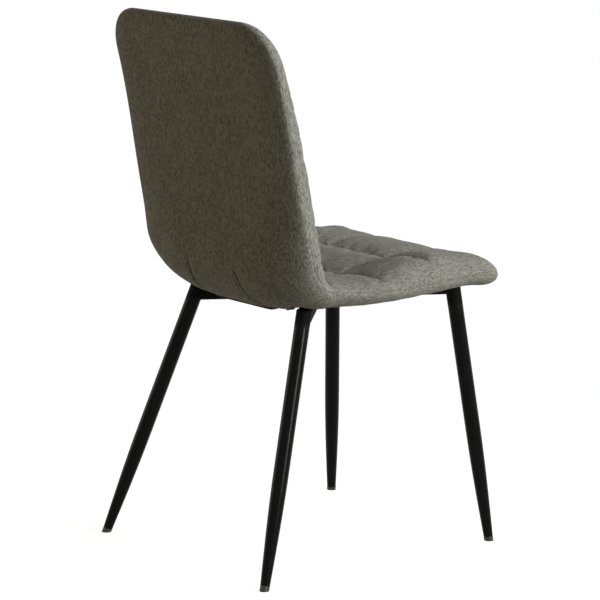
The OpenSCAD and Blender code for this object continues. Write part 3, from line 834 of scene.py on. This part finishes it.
def bandPlace(i, j):
    s, x = bandPaths[j][i]
    spot = Vector((x, s, 0))
    if j == 0:
        pulled = s + seamPull if s < band["pulled"] else s
        x *= 1 - seamPull / halfWidth(s)
        place = shellPoint(pulled, x, seamHeight(s)) + lipFullness(s, x)
        return place, spot, place
    inward = ringList[j]
    loosened = smooth(inward, 0.0, band["looseFrom"]) * (1 - smooth(inward, *band["looseTo"]))
    loosened *= 1 - pressShare(s, x)
    ripple = noise.noise(Vector((s / band["gatherPitch"], x / band["gatherPitch"], layers["bandGathers"])))
    gathers = band["gather"] * exp(-inward / band["gatherReach"]) * ripple
    loose = band["loose"] * unevenness(s, x, band["loosePitch"], "band") * loosened
    tucked = join["under"] * smooth(s, rear["edge"] - join["underRun"], rear["edge"])
    t = underCover(s, x) + joinDip(s, x) + gathers + loose + tucked
    place = shellPoint(s, x, t) + lipFullness(s, x)
    return place, spot, place


bandBm = makeSheet(len(bandPaths[0]), len(ringList), bandPlace)
sideBand = newPiece("sideBand", bandBm, "fabric", "side_band", "rim_foam")
print("covers made:", len(rowList), "rows,", 2 * columnMost + 1, "columns")


# stuffing: the cloth is held at the sewn lines and blown out a little between them

stuffing = {"frames": 20, "most": 0.0030}
stuffingCloth = {
    "quality": 6, "mass": 0.25, "tension_stiffness": 14, "compression_stiffness": 14, "shear_stiffness": 5,
    "bending_stiffness": 0.25, "air_damping": 4, "pin_stiffness": 1.0, "use_pressure": True,
    "uniform_pressure_force": 6.0, "shrink_min": -0.03,
}


def stuff(piece, held, most):
    rest = [v.co.copy() for v in piece.data.vertices]
    group = piece.vertex_groups.new(name="sewn")
    for index, share in held.items():
        group.add([index], share, "REPLACE")
    cloth = piece.modifiers.new("stuffing", "CLOTH")
    for name, value in stuffingCloth.items():
        setattr(cloth.settings, name, value)
    cloth.settings.vertex_group_mass = group.name
    cloth.settings.effector_weights.gravity = 0
    cloth.point_cache.frame_start = 1
    cloth.point_cache.frame_end = stuffing["frames"]
    for number in range(1, stuffing["frames"] + 1):
        bpy.context.scene.frame_set(number)
    blown = piece.evaluated_get(bpy.context.evaluated_depsgraph_get())
    moves = [vert.co - start for vert, start in zip(blown.to_mesh().vertices, rest)]
    blown.to_mesh_clear()
    piece.modifiers.remove(cloth)
    piece.vertex_groups.remove(group)
    bpy.context.scene.frame_set(1)
    for vert, start, move in zip(piece.data.vertices, rest, moves):
        length = max(move.length, 1e-7)
        vert.co = start + move * (most * (1 - exp(-length / most)) / length)
    print("stuffed", piece.name, "largest move", round(max(m.length for m in moves) * 1000, 1), "mm")


# points of the quilted cover that are sewn down: its outline and the seams where they are drawn in
sewn = {"edge": 0.004, "seam": 0.0015, "share": 0.25}


def sewnPoints(piece):
    held = {}
    for index, entry in enumerate(piece.data.attributes["spot"].data):
        x, s, share = entry.vector
        if edgeGap(s, x) < sewn["edge"] or min(seamGaps(s, x)) < sewn["seam"] and share > sewn["share"]:
            held[index] = 1.0
    return held


stuff(quiltedCover, sewnPoints(quiltedCover), stuffing["most"])

for piece in (quiltedCover, rearCover, sideBand):
    smoothing = piece.modifiers.new("smoothing", "SUBSURF")
    smoothing.levels = smoothing.render_levels = 1


# dust cover: a thin black cloth stretched under the seat, stapled at its sides and front, its rear edge
# over the turned-in end of the rear cover

dust = {
    "half": 0.163, "start": 0.043, "end": 0.3617, "corner": 0.030, "overlap": 0.0105,
    "overFade": (0.122, 0.150), "hangFade": (0.105, 0.130), "over": 0.0007, "sag": 0.0010, "hang": 0.0013,
    "edgeReach": 0.010, "edgeIn": 0.0012, "edgeDown": 0.0009, "thick": 0.0004, "rows": 96, "columns": 75,
    "crease": 0.5, "creasePitch": 0.040, "fineCrease": 0.15, "finePitch": 0.013,
    "sagEdge": 0.05, "bendRun": 0.03, "hangEnd": (0.004, 0.020),
}
staple = {
    "long": 0.011, "wire": 0.0012, "thick": 0.0007, "round": 0.00028,
    "inside": 0.003, "end": 0.008, "pitch": 0.038, "frontRow": 0.05347, "raised": 0.6,
}


# even places from one end to the other, no further apart than the staples' pitch
def spread(start, end):
    count = ceil((end - start) / staple["pitch"] - 1e-9)
    return [start + (end - start) * k / count for k in range(count + 1)]


stapleX = dust["half"] - staple["inside"]
frontStapleX = stapleX - dust["corner"]
sideStaples = spread(sFlat + staple["end"], sBend - 3 * staple["end"])
frontStaples = spread(-frontStapleX, frontStapleX)
rearStaples = spread(-stapleX / 2, stapleX / 2)
rearStapleS = sBend - staple["end"]


# how far the cloth is from the staple nearest along its edge, 0 to 1 halfway between two
def fromStaple(value, staples):
    nearest = min(abs(value - other) for other in staples)
    return min(nearest / (staple["pitch"] / 2), 1)


def dustEnds(x):
    away = dust["half"] - abs(x)
    corner = cornerIn(away, dust["corner"])
    over = dust["overlap"] * (1 - smooth(abs(x), *dust["overFade"]))
    return dust["start"] + corner, dust["end"] - corner + over


# the edges draw in a little between two staples
def dustPlace(i, j):
    x = dust["half"] * (2 * j / (dust["columns"] - 1) - 1)
    start, end = dustEnds(x)
    s = start + (end - start) * i / (dust["rows"] - 1)
    toSide = dust["half"] - abs(x)
    toFront = s - start
    atSide = exp(-toSide / dust["edgeReach"]) * fromStaple(s, sideStaples)
    atFront = exp(-toFront / dust["edgeReach"]) * fromStaple(x, frontStaples)
    shownX, shownS = x - copysign(dust["edgeIn"] * atSide, x), s + dust["edgeIn"] * atFront
    loose = smooth(min(toSide, toFront, end - s), 0.0, dust["sagEdge"]) * (1 - pressShare(s, x))
    creases = (unevenness(s, x, dust["creasePitch"], "creases") * dust["crease"]
               + unevenness(s, x, dust["finePitch"], "fineCreases") * dust["fineCrease"])
    slack = dust["edgeDown"] * max(atSide, atFront)
    under = min(underCover(s, x), rim["hem"]) if s > sBend - dust["bendRun"] else rim["hem"]
    free = (1 - smooth(end - s, *dust["hangEnd"])) * (1 - smooth(abs(x), *dust["hangFade"]))
    free *= 1 - pressShare(s, x)
    t = under - dust["over"] - dust["sag"] * loose * (1 + creases) - slack - dust["hang"] * free
    return shellPoint(shownS, shownX, t), Vector((x, s, 0)), shellPoint(s, x, rim["hem"])


dustBm = makeSheet(dust["rows"], dust["columns"], dustPlace)
flatArea = 0.0
for k in range(dust["columns"] - 1):
    left, right = (dust["half"] * (2 * j / (dust["columns"] - 1) - 1) for j in (k, k + 1))
    spans = [dustEnds(x)[1] - dustEnds(x)[0] for x in (left, right)]
    flatArea += (right - left) * sum(spans) / 2
dustCloth = newPiece("dustCloth", dustBm, "dust_cloth", "dust_cover")
thickness = dustCloth.modifiers.new("thickness", "SOLIDIFY")
thickness.thickness = dust["thick"]
thickness.offset = 0


# staples: flat crowns with rounded ends, pressed into the cloth

def stapleShape(size):
    bm = bmesh.new()
    bmesh.ops.create_cube(bm, size=1.0)
    bmesh.ops.scale(bm, verts=bm.verts, vec=size)
    bmesh.ops.bevel(bm, geom=bm.edges, offset=staple["round"], offset_type="OFFSET", affect="EDGES",
                    segments=2, profile=0.5, material=-1)
    mesh = bpy.data.meshes.new("staple")
    bm.to_mesh(mesh)
    bm.free()
    return mesh


stapleAlong = stapleShape((staple["wire"], staple["long"], staple["thick"]))
stapleAcross = stapleShape((staple["long"], staple["wire"], staple["thick"]))


def addStaple(bm, s, x, shape):
    known = len(bm.verts)
    bm.from_mesh(shape)
    bm.verts.ensure_lookup_table()
    turn = Matrix.Rotation(-lineAt(s)[2], 4, "X")
    under = rim["hem"] - dust["over"] - staple["thick"] * staple["raised"]
    place = Matrix.Translation(shellPoint(s, x, under))
    bmesh.ops.transform(bm, matrix=place @ turn, verts=bm.verts[known:])


stapleBm = bmesh.new()
for side in (-1, 1):
    for s in sideStaples:
        addStaple(stapleBm, s, side * stapleX, stapleAlong)
for x in frontStaples:
    addStaple(stapleBm, staple["frontRow"], x, stapleAcross)
for x in rearStaples:
    addStaple(stapleBm, rearStapleS, x, stapleAcross)
stapleRow = newPiece("stapleRow", stapleBm, "zinc_steel", "staples")


# welds: rippled beads where the arms meet the legs and each other, and along the plates

weld = {
    "bead": 0.0014, "ripple": 0.26, "step": 0.0011,
    "armWide": 0.020, "armHigh": 0.025, "armTop": 0.004, "legRadius": 0.0125,
    "rearHead": (0.146, -0.113), "frontHead": (0.159, 0.188),
    "rearFoot": (0.221, -0.246), "frontFoot": (0.212, 0.228),
    "plateIn": 0.044, "plateRun": 0.026, "plateLift": 0.0004, "cornerCut": 0.0022,
    "uneven": 0.12, "unevenPitch": 160, "tip": 0.45, "tipStep": 0.2,
}


def seatPlace(x, y, t):
    return Vector((x, y - t * sin(pitch), seatZ(y) + t * cos(pitch)))


# a closed or open path as a bead whose thickness rises and falls, turned into a mesh
def addBead(bm, path, closed):
    legs = list(zip(path, path[1:] + path[:1] if closed else path[1:]))
    run = []
    for a, b in legs:
        count = max(1, round((b - a).length / weld["step"]))
        run += [a.lerp(b, k / count) for k in range(count)]
    if not closed:
        run.append(path[-1])
    curve = bpy.data.curves.new("bead", "CURVE")
    curve.dimensions = "3D"
    curve.bevel_depth = weld["bead"]
    curve.bevel_resolution = 2
    curve.use_fill_caps = not closed
    spline = curve.splines.new("POLY")
    spline.points.add(len(run) - 1)
    spline.use_cyclic_u = closed
    for k, (point, place) in enumerate(zip(spline.points, run)):
        point.co = (*place, 1)
        uneven = weld["uneven"] * noise.noise(place * weld["unevenPitch"])
        point.radius = 1 - weld["ripple"] * (k % 3 == 0) + uneven
        if not closed:
            point.radius *= min(1, weld["tip"] + weld["tipStep"] * min(k, len(run) - 1 - k))
    holder = bpy.data.objects.new("bead", curve)
    mesh = bpy.data.meshes.new_from_object(holder)
    bm.from_mesh(mesh)
    bpy.data.meshes.remove(mesh)
    bpy.data.objects.remove(holder)
    bpy.data.curves.remove(curve)


# the outline of an arm's end, as (across, t) pairs
def armOutline():
    w, low, high = weld["armWide"] / 2, -weld["armTop"] - weld["armHigh"], -weld["armTop"]
    cut = weld["cornerCut"]
    return [(-w, low + cut), (-w + cut, low), (w - cut, low), (w, low + cut),
            (w, high - cut), (w - cut, high), (-w + cut, high), (-w, high - cut)]


weldBm = bmesh.new()
crossY = ((weld["frontHead"][1] - weld["rearHead"][1]) * weld["rearHead"][0]
          / (weld["rearHead"][0] + weld["frontHead"][0]) + weld["rearHead"][1])
cross = Vector((0, crossY))
for side in (-1, 1):
    for end in ("rear", "front"):
        head = Vector((side * weld[end + "Head"][0], weld[end + "Head"][1]))
        foot = Vector((side * weld[end + "Foot"][0], weld[end + "Foot"][1], 0))
        out = (head - cross).normalized()
        across = Vector((-out.y, out.x))
        mid = -weld["armTop"] - weld["armHigh"] / 2
        top = seatPlace(head.x, head.y, mid)
        lean = (top - foot) / (top.z - foot.z)
        path = []
        for w, t in armOutline():
            axis = head + Vector((lean.x, lean.y)) * (t - mid)
            reach = sqrt(weld["legRadius"] ** 2 - w * w)
            spot = axis + across * w - out * reach
            path.append(seatPlace(spot.x, spot.y, t))
        addBead(weldBm, path, True)
        plate = head - out * weld["plateIn"]
        for w in (-weld["armWide"] / 2, weld["armWide"] / 2):
            ends = [plate + across * w + out * k * weld["plateRun"] / 2 for k in (-1, 1)]
            addBead(weldBm, [seatPlace(p.x, p.y, -weld["armTop"] - weld["plateLift"]) for p in ends], False)
        if side * (1 if end == "rear" else -1) > 0:
            path = [cross + across * w + out * (weld["armWide"] / 2) for w, t in armOutline()]
            addBead(weldBm, [seatPlace(p.x, p.y, t) for p, (w, t) in zip(path, armOutline())], True)
bmesh.ops.recalc_face_normals(weldBm, faces=weldBm.faces)
weldBeads = newPiece("weldBeads", weldBm, "black_steel")
print("underside made:", len(sideStaples) * 2 + len(frontStaples) + len(rearStaples), "staples")


# floor and light

studio = {
    "floorSize": 20.0, "floorFade": (0.5, 1.4), "floorGrey": 0.55, "floorGlow": 1.86, "floorMix": 0.5,
    "ambient": 0.056, "ambientColour": (1.0, 0.78, 0.32), "floorBounce": (0.36, 0.33, 0.27),
    "lamps": {
        "side": {"place": (3.3, 0.5, 1.3), "size": 0.9, "watts": 62},
        "front": {"place": (2.5, 2.1, 1.35), "size": 0.9, "watts": 38},
        "top": {"place": (0.6, 0.8, 3.2), "size": 1.6, "watts": 21},
        "fill": {"place": (-2.6, -2.2, 1.2), "size": 1.6, "watts": 19, "colour": (1.0, 0.85, 0.60)},
    },
    "aim": (0, 0, 0.5),
}


# what the camera, mirrors and glass see is told apart from the light that falls on the chair
def seenDirectly(tree):
    path = tree.nodes.new("ShaderNodeLightPath")
    shares = [path.outputs[name] for name in ("Is Camera Ray", "Is Glossy Ray", "Is Transmission Ray")]
    for other in shares[1:]:
        most = tree.nodes.new("ShaderNodeMath")
        most.operation = "MAXIMUM"
        tree.links.new(shares[0], most.inputs[0])
        tree.links.new(other, most.inputs[1])
        shares[0] = most.outputs[0]
    return shares[0]


# the floor is white where it is seen, with the chair's soft shadow, and throws back a little warm light
def paleFloor():
    g = Graph("paleFloor")
    matt = g.node("ShaderNodeBsdfDiffuse", None, {0: (studio["floorGrey"],) * 3})
    glow = g.node("ShaderNodeEmission", None, {0: (1.0, 1.0, 1.0), 1: studio["floorGlow"]})
    lit = g.node("ShaderNodeMixShader", None, {0: studio["floorMix"], 1: matt, 2: glow})
    x, y, _ = g.axes(g.place())
    away = (x * x + y * y).rise(studio["floorFade"][0] ** 2, studio["floorFade"][1] ** 2)
    backdrop = g.node("ShaderNodeEmission", None, {0: (1.0, 1.0, 1.0), 1: 1.0})
    white = g.node("ShaderNodeMixShader", None, {0: away, 1: lit, 2: backdrop})
    bounce = g.node("ShaderNodeBsdfDiffuse", None, {0: studio["floorBounce"]})
    seen = Wire(g, seenDirectly(g.tree))
    shown = g.node("ShaderNodeMixShader", None, {0: seen, 1: bounce, 2: white})
    g.node("ShaderNodeOutputMaterial", None, {0: shown})
    return g.material


floorBm = bmesh.new()
bmesh.ops.create_grid(floorBm, x_segments=1, y_segments=1, size=studio["floorSize"])
floorMesh = bpy.data.meshes.new("floor")
floorBm.to_mesh(floorMesh)
floorBm.free()
floorMesh.materials.append(paleFloor())
studioFloor = bpy.data.objects.new("floor", floorMesh)
bpy.context.collection.objects.link(studioFloor)


def studioWorld():
    world = bpy.data.worlds.new("studio")
    world.use_nodes = True
    tree = world.node_tree
    tree.nodes.clear()
    ambient = tree.nodes.new("ShaderNodeBackground")
    ambient.inputs[0].default_value = (*studio["ambientColour"], 1)
    ambient.inputs[1].default_value = studio["ambient"]
    white = tree.nodes.new("ShaderNodeBackground")
    white.inputs[0].default_value = (1, 1, 1, 1)
    choice = tree.nodes.new("ShaderNodeMixShader")
    out = tree.nodes.new("ShaderNodeOutputWorld")
    tree.links.new(seenDirectly(tree), choice.inputs[0])
    tree.links.new(ambient.outputs[0], choice.inputs[1])
    tree.links.new(white.outputs[0], choice.inputs[2])
    tree.links.new(choice.outputs[0], out.inputs[0])
    return world


bpy.context.scene.world = studioWorld()

for lampName, setup in studio["lamps"].items():
    light = bpy.data.lights.new(lampName, "AREA")
    light.size = setup["size"]
    light.energy = setup["watts"]
    light.color = setup.get("colour", (1, 1, 1))
    lamp = bpy.data.objects.new(lampName, light)
    lamp.location = setup["place"]
    toAim = Vector(studio["aim"]) - Vector(setup["place"])
    lamp.rotation_euler = toAim.to_track_quat("-Z", "Y").to_euler()
    bpy.context.collection.objects.link(lamp)
print("studio lit")
